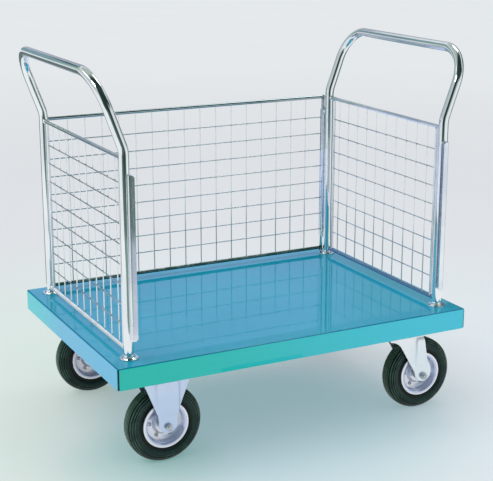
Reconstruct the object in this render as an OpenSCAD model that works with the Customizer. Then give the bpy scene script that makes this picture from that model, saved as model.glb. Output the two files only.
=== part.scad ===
/* [Deck] */
// Length of the deck, along the direction of travel
deck_length = 1000; // [980:5:1030]
// Width of the deck
deck_width = 700; // [690:5:720]
// Height of the deck surface above the floor
deck_top_z = 295; // [290:1:300]
// Depth of the skirts that are folded down round the deck
skirt_depth = 55; // [50:1:60]
// Thickness of the deck sheet
sheet = 2; // [1.5:0.25:2.5]
// Outer radius of the folded deck edges
fold_radius = 4; // [3:0.5:6]
// Width of the stiffening lip turned in along the foot of each skirt
lip_width = 12; // [8:1:14]

/* [Handles] */
// Outer diameter of the handle tube
tube_diameter = 25; // [24:0.5:26]
// Wall thickness of the handle tube
tube_wall = 1.5; // [1:0.25:2]
// Distance from the deck's end to the centre of a post
post_inset_x = 52.5; // [50:0.5:56]
// Distance from the deck's long side to the centre of a post
post_inset_y = 59; // [56:0.5:62]
// Height above the deck where the posts begin to lean outward
lean_corner_rise = 508; // [506:1:540]
// Lean of the handle loop from the vertical, in degrees
handle_lean = 20; // [15:1:28]
// Length along the lean from that height to the centre of the top bar
loop_rise = 189; // [180:1:220]
// Centre-line radius of the bend where the post begins to lean
lean_bend_radius = 70; // [50:1:90]
// Centre-line radius of the top corners
corner_bend_radius = 90; // [60:1:100]

/* [Mesh] */
// Spacing of the mesh wires
mesh_pitch = 50; // [46:1:51]
// Diameter of a mesh wire
wire_diameter = 3; // [2.5:0.25:4]
// Diameter of the top and bottom rails of a mesh panel
rail_diameter = 10; // [8:0.5:10]
// Diameter of the upright rod along each edge of an end mesh
edge_rod_diameter = 8; // [6:0.5:9]
// Height of the top rails above the deck
top_rail_rise = 487; // [480:1:487]
// Height of the end panels' bottom rails above the deck
end_bottom_rail_rise = 18; // [16:1:24]
// Height of the lowest cross wire above the deck
first_cross_wire_rise = 75; // [60:1:85]
// Number of cross wires
cross_wires = 8; // [6:1:8]
// Number of upright wires in an end mesh
end_uprights = 10; // [8:2:10]
// Number of upright wires in the side mesh
side_uprights = 16; // [12:2:16]

/* [Panel guides] */
// Length of a panel guide
guide_length = 403; // [360:1:410]
// Height of the foot of a panel guide above the deck
guide_foot_rise = 50; // [46:1:60]
// Depth of a panel guide's channel
guide_depth = 15; // [14:0.5:16]
// Clear width of a panel guide's slot
guide_slot = 11; // [10.6:0.1:12]
// Sheet thickness of a panel guide
guide_sheet = 2; // [1.75:0.25:2]
// Outer radius of a panel guide's bends
guide_bend = 3.5; // [2:0.5:3.5]
// Length of the lead-in cut across the free corners of a panel guide
guide_lead = 5; // [3:0.5:8]
// Height of the side panel's bottom rail above the deck
side_bottom_rail_rise = 15; // [14:1:20]

/* [Castors] */
// Diameter of a wheel
wheel_diameter = 200; // [196:1:204]
// Width of a tyre
tyre_width = 48; // [46:1:50]
// Distance of the fixed castors' axle from the middle of the deck
fixed_castor_x = 350; // [340:1:356]
// Distance of the swivel castors' pivot from the middle of the deck
swivel_castor_x = 355; // [345:1:358]
// Distance of each castor from the centre line of the deck
castor_y = 259; // [250:1:262]
// Distance from a swivel castor's pivot to its axle
castor_trail = 54; // [48:1:58]
// Number of rivets that hold the two rim discs together
rim_rivets = 6; // [4:1:8]
// Number of balls in a swivel castor's race
race_balls = 18; // [12:1:20]

/* [Hidden] */
$fn = 64;

paint_blue = [0.30, 0.62, 0.78];
paint_grey = [0.32, 0.34, 0.37];
chrome = [0.80, 0.82, 0.84];
zinc = [0.72, 0.76, 0.86];
steel = [0.60, 0.62, 0.66];
rubber = [0.08, 0.09, 0.09];

left = -1;
right = 1;
front = -1;
rear = 1;
both = [-1, 1];

// Gap left between welded or clamped pieces, so that their solids never overlap
seat_gap = 0.05;
// Radial play of a turning fit
running_play = 0.05;
// Extra length of a cutting shape past the face that it cuts
cut = 1;

deck_under_z = deck_top_z - sheet;
skirt_foot_z = deck_top_z - skirt_depth;
flat_half_x = deck_length / 2 - fold_radius;
flat_half_y = deck_width / 2 - fold_radius;

post_x = deck_length / 2 - post_inset_x;
post_y = deck_width / 2 - post_inset_y;
tube_radius = tube_diameter / 2;
post_foot_z = skirt_foot_z + 6;
post_hole_play = 0.3;
post_hole_radius = tube_radius + post_hole_play;
pad_radius = tube_radius * 2;
pad_height = 0.5;

socket_foot_z = post_foot_z + 2;
socket_screw_z = (socket_foot_z + deck_under_z) / 2;
socket_radius = 16;
socket_boss_radius = 8;
socket_boss_end = 23;
socket_play = 0.2;
socket_screw_radius = 4;
socket_screw_head_radius = 7.5;
socket_screw_head_height = 5.5;

lean_corner_z = deck_top_z + lean_corner_rise;
lean_tangent = lean_bend_radius * tan(handle_lean / 2);
lean_start_z = lean_corner_z - lean_tangent;
top_bar_half = post_y - corner_bend_radius;
leg_foot = ceil(lean_tangent);
leg_top = loop_rise - corner_bend_radius;
// A ring a hair thicker than the tube joins the lower bend to the straight leg above it
leg_swell = 0.05;
leg_lap = 2;

rail_radius = rail_diameter / 2;
wire_radius = wire_diameter / 2;
edge_rod_radius = edge_rod_diameter / 2;
edge_rod_inset = 29;
edge_rod_y = post_y - edge_rod_inset;
top_rail_z = deck_top_z + top_rail_rise;
end_bottom_rail_z = deck_top_z + end_bottom_rail_rise;
first_cross_wire_z = deck_top_z + first_cross_wire_rise;
// The upright wires lie beside the cross wires and bite into them a little at each weld
weld_bite = 0.4;
upright_offset = wire_diameter - weld_bite;
// Nearest distance of an upright wire's surface from the plane of the rails
upright_inner_gap = upright_offset - wire_radius;

collar_radius = 23;
collar_flange = 3;
collar_crown = 0.5;
collar_height = 10.5;
collar_boss = 2.5;
collar_chamfer = 1;
collar_seat_z = deck_top_z + pad_height;

guide_foot_z = deck_top_z + guide_foot_rise;
guide_web_offset = -0.5;
guide_near_y = tube_radius + seat_gap;
guide_mid_y = guide_near_y + guide_sheet + guide_slot / 2;
weld_bead_radius = 2.5;
weld_bead_length = 18;
weld_bead_heights = [0.03, 0.49, 0.93];
weld_bead_x = -9;
weld_bead_y = -11.2;

side_panel_y = post_y + guide_mid_y;
side_rod_x = post_x - 10.5;
// Gap below the rods of the side panel when it is fully down
side_rod_gap = 0.4;
side_foot_z = collar_seat_z + collar_flange + collar_crown + side_rod_gap;
side_bottom_rail_z = deck_top_z + side_bottom_rail_rise;

wheel_radius = wheel_diameter / 2;
tyre_half = tyre_width / 2;
rim_lip_radius = 59;
rim_bed_radius = 52;
rim_sheet = 2;
rim_lip_bead = 2.5;
rim_lip_offset = tyre_half - 2;
hub_radius = 15;
hub_face = 14;
rivet_circle = 36;
rivet_radius = 3;

plate_top_z = skirt_foot_z;
plate_sheet = 5;
plate_size_x = 130;
plate_size_y = 140;
plate_under_z = plate_top_z - plate_sheet;
bolt_spacing_x = 80;
bolt_spacing_y = 105;
bolt_radius = 5;
bolt_hole_radius = 5.5;
bolt_head_height = 6.4;
bolt_hex_radius = 9.8;
// Length of thread that stands out past a nut
bolt_spare = 3;
bearer_sheet = 3;
bearer_half_x = 66;
bearer_half_y = deck_width / 2 - sheet - lip_width - 2;
nut_height = 8;

fork_sheet = 4;
fork_inner = 31;
fork_outer = fork_inner + fork_sheet;
fork_bend = 8;
fork_raise = 3;
fork_face = fork_outer + fork_raise;
fork_tip_radius = 25;
fork_tip_z = wheel_radius + 9;
axle_radius = 5;
axle_play = 0.1;
axle_hole_radius = axle_radius + axle_play;
axle_sleeve_radius = 10;

crown_top_z = plate_under_z - 14;
crown_radius = 48;
race_radius = 37;
race_inner = 30;
race_outer = 44;
ball_radius = 5;
ball_z = (plate_under_z + crown_top_z) / 2;
race_split = 1.5;
kingpin_radius = 6;
kingpin_head_radius = 13;
kingpin_hole_radius = 18;

wheel_rows = [["left_front", left, front], ["left_rear", left, rear],
              ["right_front", right, front], ["right_rear", right, rear]];

// Children drawn for the front are mirrored to the rear, and children drawn for the right end to the left
module on_side(side) {
    if (side == rear) mirror([0, 1, 0]) children();
    else children();
}

module on_end(end) {
    if (end == left) mirror([1, 0, 0]) children();
    else children();
}

module at_posts() {
    for (end = both, side = both) {
        translate([end * post_x, side * post_y, 0]) on_side(side) children();
    }
}

module at_castor(end, side) {
    castor_x = end == left ? -fixed_castor_x : swivel_castor_x;
    translate([castor_x, side * castor_y, 0]) on_side(side) children();
}

module at_axle(end, side) {
    trail = end == left ? 0 : castor_trail;
    at_castor(end, side) translate([trail, 0, wheel_radius]) children();
}

module at_castor_bolts() {
    for (x = both, y = both) {
        translate([x * bolt_spacing_x / 2, y * bolt_spacing_y / 2, 0]) children();
    }
}

// A cylinder along Y, from start to stop
module y_rod(radius, start, stop) {
    translate([0, start, 0]) rotate([-90, 0, 0]) cylinder(r = radius, h = stop - start);
}

// A six-sided bar along Y, for hexagon heads and nuts
module y_hexagon(radius, start, stop) {
    translate([0, start, 0]) rotate([-90, 0, 0]) cylinder(r = radius, h = stop - start, $fn = 6);
}

// Folded edge and skirt in section: the flat sheet ends at the origin, on its top face
module skirt_section() {
    intersection() {
        translate([0, -fold_radius]) {
            difference() {
                circle(r = fold_radius);
                circle(r = fold_radius - sheet);
            }
        }
        translate([0, -fold_radius]) square(fold_radius);
    }
    translate([fold_radius - sheet, -skirt_depth]) square([sheet, skirt_depth - fold_radius]);
}

// One long or short skirt with its lip, along Y, on the +X side of a flat that ends at flat_half
module skirt(flat_half, half_run) {
    translate([flat_half, half_run, deck_top_z]) {
        rotate([90, 0, 0]) linear_extrude(2 * half_run) skirt_section();
    }
    lip_half = half_run - lip_width;
    lip_outer = flat_half + fold_radius - sheet;
    translate([lip_outer - lip_width, -lip_half, skirt_foot_z]) cube([lip_width, 2 * lip_half, sheet]);
}

// Folded sheet tray: top, four skirts that leave the corners open, and a raised seat round each post
module deck_tray() {
    color(paint_blue) difference() {
        union() {
            translate([-flat_half_x, -flat_half_y, deck_under_z]) {
                cube([2 * flat_half_x, 2 * flat_half_y, sheet]);
            }
            for (end = both) on_end(end) skirt(flat_half_x, flat_half_y);
            for (side = both) rotate([0, 0, side * 90]) skirt(flat_half_y, flat_half_x);
            at_posts() translate([0, 0, deck_under_z]) cylinder(r = pad_radius, h = sheet + pad_height);
        }
        at_posts() translate([0, 0, deck_under_z - cut]) {
            cylinder(r = post_hole_radius, h = sheet + pad_height + 2 * cut);
        }
    }
}

// Upward-open channel across the deck that carries two castors
module castor_bearer(end, centre_hole) {
    centre_x = end == left ? -fixed_castor_x : swivel_castor_x;
    color(paint_grey) difference() {
        translate([centre_x - bearer_half_x, -bearer_half_y, skirt_foot_z]) {
            cube([2 * bearer_half_x, 2 * bearer_half_y, deck_under_z - seat_gap - skirt_foot_z]);
        }
        inner_half_x = bearer_half_x - bearer_sheet;
        translate([centre_x - inner_half_x, -bearer_half_y - cut, skirt_foot_z + bearer_sheet]) {
            cube([2 * inner_half_x, 2 * (bearer_half_y + cut), skirt_depth]);
        }
        for (side = both) at_castor(end, side) translate([0, 0, skirt_foot_z - cut]) {
            at_castor_bolts() cylinder(r = bolt_hole_radius, h = bearer_sheet + 2 * cut);
            if (centre_hole) cylinder(r = kingpin_hole_radius, h = bearer_sheet + 2 * cut);
        }
    }
}

// Channel along the middle of the deck, between the two bearers
module centre_stiffener() {
    start_x = -fixed_castor_x + bearer_half_x + seat_gap;
    run = swivel_castor_x - bearer_half_x - seat_gap - start_x;
    half_y = 60;
    depth = 40;
    foot_z = deck_under_z - seat_gap - depth;
    color(paint_grey) difference() {
        translate([start_x, -half_y, foot_z]) cube([run, 2 * half_y, depth]);
        translate([start_x - cut, -half_y + bearer_sheet, foot_z + bearer_sheet]) {
            cube([run + 2 * cut, 2 * (half_y - bearer_sheet), depth]);
        }
    }
}

// Sleeve under the deck round the foot of each post, with a threaded boss for its screw
module post_sockets() {
    color(paint_grey) at_posts() difference() {
        union() {
            translate([0, 0, socket_foot_z]) {
                cylinder(r = socket_radius, h = deck_under_z - seat_gap - socket_foot_z);
            }
            translate([0, 0, socket_screw_z]) y_rod(socket_boss_radius, 0, socket_boss_end);
        }
        translate([0, 0, socket_foot_z - cut]) cylinder(r = tube_radius + socket_play, h = skirt_depth);
        translate([0, 0, socket_screw_z]) y_rod(socket_screw_radius + seat_gap, 0, socket_boss_end + cut);
    }
}

// Hexagon screw through each socket's boss that clamps the post
module socket_screws() {
    color(steel) at_posts() translate([0, 0, socket_screw_z]) {
        y_rod(socket_screw_radius, tube_radius + seat_gap, socket_boss_end + cut);
        head_seat = socket_boss_end + seat_gap;
        y_hexagon(socket_screw_head_radius, head_seat, head_seat + socket_screw_head_height);
    }
}

// Turned flange with a short boss round the foot of each post
module post_collars() {
    bore = tube_radius + seat_gap;
    color(chrome) at_posts() translate([0, 0, collar_seat_z]) rotate_extrude() polygon([
        [bore, 0], [collar_radius, 0], [collar_radius, collar_flange - collar_chamfer],
        [collar_radius - collar_chamfer, collar_flange],
        [bore + collar_boss + 2, collar_flange + collar_crown], [bore + collar_boss, collar_height / 2],
        [bore + collar_boss, collar_height - collar_chamfer],
        [bore + collar_boss - collar_chamfer, collar_height], [bore, collar_height]
    ]);
}

// Section of the handle tube, thicker by swell on both faces
module tube_ring(swell = 0) {
    difference() {
        circle(r = tube_radius + swell);
        circle(r = tube_radius - tube_wall - swell);
    }
}

// Children drawn from the point where a straight post and its lean would meet, along the lean
module along_lean() {
    translate([post_x, 0, lean_corner_z]) rotate([0, handle_lean, 0]) children();
}

// One bent tube: two posts, their outward lean, two corners and the top bar
module handle_tube(end) {
    color(chrome) on_end(end) {
        for (side = both) on_side(side) {
            translate([post_x, -post_y, post_foot_z]) {
                linear_extrude(lean_start_z - post_foot_z) tube_ring();
            }
            translate([post_x + lean_bend_radius, -post_y, lean_start_z]) rotate([90, 0, 180]) {
                rotate_extrude(angle = handle_lean) translate([lean_bend_radius, 0]) tube_ring();
            }
            along_lean() translate([0, -post_y, 0]) {
                translate([0, 0, leg_foot - leg_lap]) linear_extrude(2 * leg_lap) tube_ring(leg_swell);
                translate([0, 0, leg_foot]) linear_extrude(leg_top - leg_foot) tube_ring();
                translate([0, corner_bend_radius, leg_top]) rotate([90, 0, -90]) {
                    rotate_extrude(angle = 90) translate([corner_bend_radius, 0]) tube_ring();
                }
            }
        }
        along_lean() translate([0, -top_bar_half, loop_rise]) rotate([-90, 0, 0]) {
            linear_extrude(2 * top_bar_half) tube_ring();
        }
    }
}

// Rails and edge rods of an end panel, welded between the two posts
module end_frame(end) {
    color(chrome) on_end(end) difference() {
        union() {
            for (z = [end_bottom_rail_z, top_rail_z]) {
                translate([post_x, 0, z]) y_rod(rail_radius, -post_y, post_y);
            }
            for (side = both) translate([post_x, side * edge_rod_y, end_bottom_rail_z]) {
                cylinder(r = edge_rod_radius, h = top_rail_z - end_bottom_rail_z);
            }
        }
        for (side = both) translate([post_x, side * post_y, deck_top_z]) {
            cylinder(r = tube_radius + seat_gap, h = top_rail_z);
        }
    }
}

// Welded wires that fill a frame: cross wires along X, and upright wires on their -Y side
module wire_mesh(uprights, half_span, bottom_rail_z, rail_gap_y) {
    rail_reach = sqrt(pow(rail_radius, 2) - pow(rail_gap_y, 2)) + seat_gap;
    foot_z = bottom_rail_z + rail_reach;
    head_z = top_rail_z - rail_reach;
    for (row = [0 : cross_wires - 1]) {
        translate([-half_span, 0, first_cross_wire_z + row * mesh_pitch]) rotate([0, 90, 0]) {
            cylinder(r = wire_radius, h = 2 * half_span);
        }
    }
    for (column = [0 : uprights - 1]) {
        translate([(column - (uprights - 1) / 2) * mesh_pitch, -upright_offset, foot_z]) {
            cylinder(r = wire_radius, h = head_z - foot_z);
        }
    }
}

// Wire infill of an end panel
module end_mesh(end) {
    half_span = edge_rod_y - edge_rod_radius - seat_gap;
    color(chrome) on_end(end) translate([post_x, 0, 0]) rotate([0, 0, -90]) {
        wire_mesh(end_uprights, half_span, end_bottom_rail_z, upright_inner_gap);
    }
}

// Folded channel on end, open towards -X, with its web at the origin and its free corners cut off
module guide_channel() {
    half_width = guide_slot / 2 + guide_sheet;
    corner = guide_lead * sqrt(2);
    difference() {
        rotate([0, 0, -90]) linear_extrude(guide_length) difference() {
            translate([0, -guide_depth]) arch(half_width, guide_depth, guide_bend);
            translate([-guide_slot / 2, -guide_depth - cut]) {
                square([guide_slot, guide_depth + cut - guide_sheet]);
            }
        }
        for (z = [0, guide_length]) translate([-guide_depth, 0, z]) rotate([0, 45, 0]) {
            cube([corner, 2 * (half_width + cut), corner], center = true);
        }
    }
}

// Channel welded to a post, open towards the middle of the truck, with its weld beads
module panel_guide(end, side) {
    color(chrome) on_end(end) on_side(side) translate([post_x, -post_y, guide_foot_z]) difference() {
        union() {
            translate([-guide_web_offset, -guide_mid_y, 0]) guide_channel();
            for (share = weld_bead_heights) translate([weld_bead_x, weld_bead_y, share * guide_length]) {
                cylinder(r = weld_bead_radius, h = weld_bead_length);
            }
        }
        translate([0, 0, -cut]) cylinder(r = tube_radius + seat_gap, h = guide_length + 2 * cut);
    }
}

// Rails and end rods of the lift-out side panel
module side_panel_frame() {
    half_run = side_rod_x + rail_radius;
    color(chrome) translate([0, side_panel_y, 0]) {
        for (z = [side_bottom_rail_z, top_rail_z]) {
            translate([-half_run, 0, z]) rotate([0, 90, 0]) cylinder(r = rail_radius, h = 2 * half_run);
        }
        for (end = both) translate([end * side_rod_x, 0, side_foot_z]) {
            cylinder(r = rail_radius, h = top_rail_z + rail_radius - side_foot_z);
        }
    }
}

// Wire infill of the side panel
module side_panel_mesh() {
    half_span = side_rod_x - rail_radius - seat_gap;
    color(chrome) translate([0, side_panel_y, 0]) {
        wire_mesh(side_uprights, half_span, side_bottom_rail_z, upright_inner_gap);
    }
}

// Flat top plate of a castor, drilled for its four bolts
module castor_plate() {
    difference() {
        translate([-plate_size_x / 2, -plate_size_y / 2, plate_under_z]) {
            cube([plate_size_x, plate_size_y, plate_sheet]);
        }
        translate([0, 0, plate_under_z - cut]) at_castor_bolts() {
            cylinder(r = bolt_hole_radius, h = plate_sheet + 2 * cut);
        }
    }
}

// Hexagon bolts that hold the castor plates to the bearers
module castor_bolts() {
    grip = plate_sheet + bearer_sheet + nut_height;
    color(steel) for (row = wheel_rows) at_castor(row[1], row[2]) at_castor_bolts() {
        translate([0, 0, plate_under_z - seat_gap - bolt_head_height]) {
            cylinder(r = bolt_hex_radius, h = bolt_head_height, $fn = 6);
            cylinder(r = bolt_radius, h = bolt_head_height + grip + bolt_spare);
        }
    }
}

// Weld nuts inside the bearers
module castor_nuts() {
    nut_z = skirt_foot_z + bearer_sheet + seat_gap;
    color(steel) for (row = wheel_rows) at_castor(row[1], row[2]) at_castor_bolts() {
        translate([0, 0, nut_z]) difference() {
            cylinder(r = bolt_hex_radius, h = nut_height, $fn = 6);
            translate([0, 0, -cut]) cylinder(r = bolt_radius + seat_gap, h = nut_height + 2 * cut);
        }
    }
}

// Inverted U in section, with rounded shoulders
module arch(half_width, top, radius) {
    translate([-half_width, 0]) square([2 * half_width, top - radius]);
    translate([radius - half_width, 0]) square([2 * (half_width - radius), top]);
    for (side = both) translate([side * (half_width - radius), top - radius]) circle(r = radius);
}

// Bent fork sheet along X, before its sides are trimmed: a U with a raised band on each leg
module fork_blank(crown_z, half_run, band_start, band_stop) {
    ramp = 6;
    rotate([90, 0, 90]) translate([0, 0, -half_run]) linear_extrude(2 * half_run) difference() {
        arch(fork_outer, crown_z, fork_bend);
        arch(fork_inner, crown_z - fork_sheet, fork_bend - fork_sheet);
    }
    for (side = both) on_side(side) linear_extrude(crown_z - fork_bend) polygon([
        [band_start - ramp, -fork_outer + 1], [band_start - ramp, -fork_outer], [band_start, -fork_face],
        [band_stop, -fork_face], [band_stop + ramp, -fork_outer], [band_stop + ramp, -fork_outer + 1]
    ]);
}

// Side outline of a fixed fork, in X and height: a taper that ends in a round tip
module fixed_fork_outline() {
    shoulder = [60, 216];
    waist = [26, 131];
    polygon([
        [-shoulder[0], plate_under_z], [shoulder[0], plate_under_z], shoulder, waist,
        [fork_tip_radius - 1, fork_tip_z], [1 - fork_tip_radius, fork_tip_z],
        [-waist[0], waist[1]], [-shoulder[0], shoulder[1]]
    ]);
    translate([0, fork_tip_z]) circle(r = fork_tip_radius);
}

// Side outline of a swivel fork, from its axle: straight trailing edge, leading edge swept up in an arc
module swivel_fork_outline() {
    crown_half = 52;
    crown_lead = -castor_trail - crown_half;
    trailing_waist = [[11, 146], [20, 130]];
    sweep_radius = 45;
    sweep_start = [-70, 188];
    sweep_slope = 30;
    sweep_centre = sweep_start - sweep_radius * [cos(sweep_slope), sin(sweep_slope)];
    difference() {
        polygon([
            [crown_lead, crown_top_z], [crown_half - castor_trail, crown_top_z],
            trailing_waist[0], trailing_waist[1],
            [fork_tip_radius, fork_tip_z], [-fork_tip_radius, fork_tip_z],
            sweep_start, [crown_lead, sweep_start[1]]
        ]);
        translate(sweep_centre) circle(r = sweep_radius);
    }
    translate([0, fork_tip_z]) circle(r = fork_tip_radius);
}

// Outline swept across the fork, to trim the blank
module across_fork() {
    translate([0, fork_face + cut, 0]) rotate([90, 0, 0]) linear_extrude(2 * (fork_face + cut)) children();
}

module axle_holes() {
    translate([0, 0, wheel_radius]) y_rod(axle_hole_radius, -fork_face - cut, fork_face + cut);
}

// Pressed fork welded to its plate, for a castor that doesn't turn
module fixed_fork() {
    band = 28;
    color(zinc) {
        difference() {
            union() {
                castor_plate();
                intersection() {
                    fork_blank(plate_under_z, plate_size_x / 2, -band, band);
                    across_fork() fixed_fork_outline();
                }
            }
            axle_holes();
        }
    }
}

// Half of the ball track: a ring between two heights, grooved for the balls
module race_ring(low, high, play) {
    difference() {
        rotate_extrude() translate([race_inner, low]) square([race_outer - race_inner, high - low]);
        translate([0, 0, ball_z]) rotate_extrude() {
            translate([race_radius, 0]) circle(r = ball_radius + play);
        }
    }
}

// Fixed upper half of a swivel castor: plate and upper ball track
module swivel_top_plate() {
    color(zinc) difference() {
        union() {
            castor_plate();
            race_ring(ball_z + race_split, plate_under_z, seat_gap);
        }
        translate([0, 0, plate_under_z - cut]) {
            cylinder(r = kingpin_radius + seat_gap, h = plate_sheet + 2 * cut);
        }
    }
}

// Balls of the swivel race
module ball_race() {
    color(steel) for (ball = [0 : race_balls - 1]) rotate([0, 0, ball * 360 / race_balls]) {
        translate([race_radius, 0, ball_z]) sphere(r = ball_radius);
    }
}

// Pin through the plate and the fork's crown, with a retaining washer peened on below
module kingpin() {
    washer_gap = 0.4;
    washer_sheet = 3;
    washer_radius = 20;
    peened_end = 4;
    head_height = 5;
    washer_top = crown_top_z - fork_sheet - washer_gap;
    foot_z = washer_top - washer_sheet - peened_end;
    color(steel) {
        translate([0, 0, foot_z]) cylinder(r = kingpin_radius, h = plate_top_z - foot_z + cut);
        translate([0, 0, plate_top_z + seat_gap]) cylinder(r = kingpin_head_radius, h = head_height);
        translate([0, 0, washer_top - washer_sheet]) cylinder(r = washer_radius, h = washer_sheet);
    }
}

// Pressed fork with its crown and lower ball track, which turns about the kingpin
module swivel_fork() {
    band_start = -21;
    track_play = 0.3;
    color(zinc) difference() {
        union() {
            translate([castor_trail, 0, 0]) intersection() {
                fork_blank(crown_top_z, plate_size_x, band_start, 2 * fork_tip_radius);
                across_fork() swivel_fork_outline();
            }
            translate([0, 0, crown_top_z - fork_sheet]) cylinder(r = crown_radius, h = fork_sheet);
            race_ring(crown_top_z, ball_z - race_split, track_play);
        }
        translate([0, 0, crown_top_z - fork_sheet - cut]) {
            cylinder(r = kingpin_radius + running_play, h = fork_sheet + 2 * cut);
        }
        translate([castor_trail, 0, 0]) axle_holes();
    }
}

// Bolt through the fork and the wheel, with its head on the inner side
module axle_bolt() {
    head_seat = fork_face + seat_gap;
    color(zinc) {
        y_rod(axle_radius, -fork_face - nut_height - bolt_spare, head_seat + cut);
        y_hexagon(bolt_hex_radius, head_seat, head_seat + bolt_head_height);
    }
}

// Nut on the outer end of an axle bolt
module axle_nut() {
    seat = -fork_face - seat_gap;
    color(zinc) difference() {
        y_hexagon(bolt_hex_radius, seat - nut_height, seat);
        y_rod(axle_radius + seat_gap, seat - nut_height - cut, seat + cut);
    }
}

// Sleeve clamped between the fork legs, which the rollers run on
module axle_sleeve() {
    half_run = fork_inner - seat_gap;
    color(steel) difference() {
        y_rod(axle_sleeve_radius, -half_run, half_run);
        y_rod(axle_radius + axle_play, -half_run - cut, half_run + cut);
    }
}

// Turns a section drawn in radius and width about the axle
module about_axle() {
    rotate([90, 0, 0]) rotate_extrude() children();
}

// Solid rubber tyre: rounded shoulders, tread grooves, a ring on each sidewall and a foot in the rim
module tyre() {
    shoulder = 15;
    foot_half = rim_lip_offset - rim_lip_bead - seat_gap;
    wall_start = rim_lip_radius + rim_lip_bead + 0.5;
    groove_width = 3;
    groove_depth = 2.5;
    groove_spacing = 9;
    ring_radius = wheel_radius - 21;
    ring_bead = 2;
    ring_depth = 0.8;
    recess_bead = 3;
    recess_radius = wall_start + 3.5;
    recess_offset = tyre_half + 1;
    color(rubber) about_axle() difference() {
        union() {
            translate([rim_bed_radius + seat_gap, -foot_half]) {
                square([wheel_radius - shoulder - rim_bed_radius, 2 * foot_half]);
            }
            translate([wall_start, -tyre_half]) square([wheel_radius - shoulder - wall_start, tyre_width]);
            translate([wheel_radius - shoulder - 1, shoulder - tyre_half]) {
                square([shoulder + 1, tyre_width - 2 * shoulder]);
            }
            for (side = both) {
                translate([wheel_radius - shoulder, side * (tyre_half - shoulder)]) circle(r = shoulder);
                translate([ring_radius, side * (tyre_half - ring_depth)]) circle(r = ring_bead);
            }
        }
        for (step = [-1 : 1]) translate([wheel_radius - groove_depth, step * groove_spacing]) {
            translate([0, -groove_width / 2]) square([groove_depth + cut, groove_width]);
        }
        for (side = both) translate([recess_radius, side * recess_offset]) circle(r = recess_bead);
    }
}

// One pressed rim disc, from its hub face past the riveted web to the rolled lip; it faces -Y
module rim_disc() {
    bed_inner = rim_bed_radius - rim_sheet;
    lip_face = rim_lip_offset + rim_lip_bead - 0.5;
    color(zinc) difference() {
        union() {
            about_axle() polygon([
                [hub_radius, hub_face - rim_sheet], [hub_radius, hub_face], [24.5, hub_face],
                [29.5, rim_sheet], [47, rim_sheet], [bed_inner, 5], [bed_inner, lip_face - 3],
                [bed_inner + 3, lip_face], [rim_lip_radius, lip_face],
                [rim_lip_radius, lip_face - rim_sheet], [bed_inner + 3.8, lip_face - rim_sheet],
                [rim_bed_radius, lip_face - 3.8], [rim_bed_radius, 4], [48, seat_gap / 2],
                [28.5, seat_gap / 2], [23.5, hub_face - rim_sheet]
            ]);
            about_axle() translate([rim_lip_radius, rim_lip_offset]) circle(r = rim_lip_bead);
        }
        at_rivets() y_rod(rivet_radius + seat_gap, -rim_sheet - cut, cut);
    }
}

module at_rivets() {
    for (rivet = [0 : rim_rivets - 1]) rotate([0, rivet * 360 / rim_rivets, 0]) {
        translate([rivet_circle, 0, 0]) children();
    }
}

// Tubular rivets that join the two rim discs
module rivets() {
    head = 2.2;
    head_radius = 5.5;
    bore = 2;
    head_seat = rim_sheet + seat_gap;
    color(steel) at_rivets() difference() {
        union() {
            y_rod(rivet_radius, -head_seat - head, head_seat + head);
            for (side = both) on_side(side) y_rod(head_radius, -head_seat - head, -head_seat);
        }
        for (side = both) on_side(side) y_rod(bore, -head_seat - head - cut, -head_seat);
    }
}

// Roller bearing cartridge held in the hub faces of the two rim discs
module roller_bearing() {
    half_run = 27;
    color(steel) difference() {
        y_rod(hub_radius - seat_gap, -half_run, half_run);
        y_rod(axle_sleeve_radius + running_play, -half_run - cut, half_run + cut);
    }
}

deck_tray();
castor_bearer(left, false);  // left_castor_bearer
castor_bearer(right, true);  // right_castor_bearer
centre_stiffener();
post_sockets();
socket_screws();
post_collars();
handle_tube(left);  // left_handle_tube
handle_tube(right);  // right_handle_tube
end_frame(left);  // left_end_frame
end_frame(right);  // right_end_frame
end_mesh(left);  // left_end_mesh
end_mesh(right);  // right_end_mesh
panel_guide(left, front);  // front_left_panel_guide
panel_guide(right, front);  // front_right_panel_guide
panel_guide(left, rear);  // rear_left_panel_guide
panel_guide(right, rear);  // rear_right_panel_guide
side_panel_frame();
side_panel_mesh();
castor_bolts();
castor_nuts();
at_castor(left, front) fixed_fork();  // left_front_fork
at_castor(left, rear) fixed_fork();  // left_rear_fork
for (side = both) at_axle(left, side) axle_bolt();  // left_axle_bolts
for (side = both) at_axle(left, side) axle_nut();  // left_axle_nuts
for (side = both) at_axle(left, side) axle_sleeve();  // left_axle_sleeves
at_castor(right, front) swivel_top_plate();  // right_front_top_plate
at_castor(right, rear) swivel_top_plate();  // right_rear_top_plate
at_castor(right, front) kingpin();  // right_front_kingpin
at_castor(right, rear) kingpin();  // right_rear_kingpin
at_castor(right, front) ball_race();  // right_front_ball_race
at_castor(right, rear) ball_race();  // right_rear_ball_race
at_castor(right, front) swivel_fork();  // right_front_fork
at_castor(right, rear) swivel_fork();  // right_rear_fork
at_axle(right, front) axle_bolt();  // right_front_axle_bolt
at_axle(right, rear) axle_bolt();  // right_rear_axle_bolt
at_axle(right, front) axle_nut();  // right_front_axle_nut
at_axle(right, rear) axle_nut();  // right_rear_axle_nut
at_axle(right, front) axle_sleeve();  // right_front_axle_sleeve
at_axle(right, rear) axle_sleeve();  // right_rear_axle_sleeve
for (row = wheel_rows) {
    at_axle(row[1], row[2]) tyre();
    at_axle(row[1], row[2]) rim_disc();
    union() {
        at_axle(row[1], row[2]) mirror([0, 1, 0]) rim_disc();
    }
    at_axle(row[1], row[2]) rivets();
    at_axle(row[1], row[2]) roller_bearing();
}
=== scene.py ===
import bpy
import bmesh
import math
from mathutils import Matrix, Vector


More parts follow.
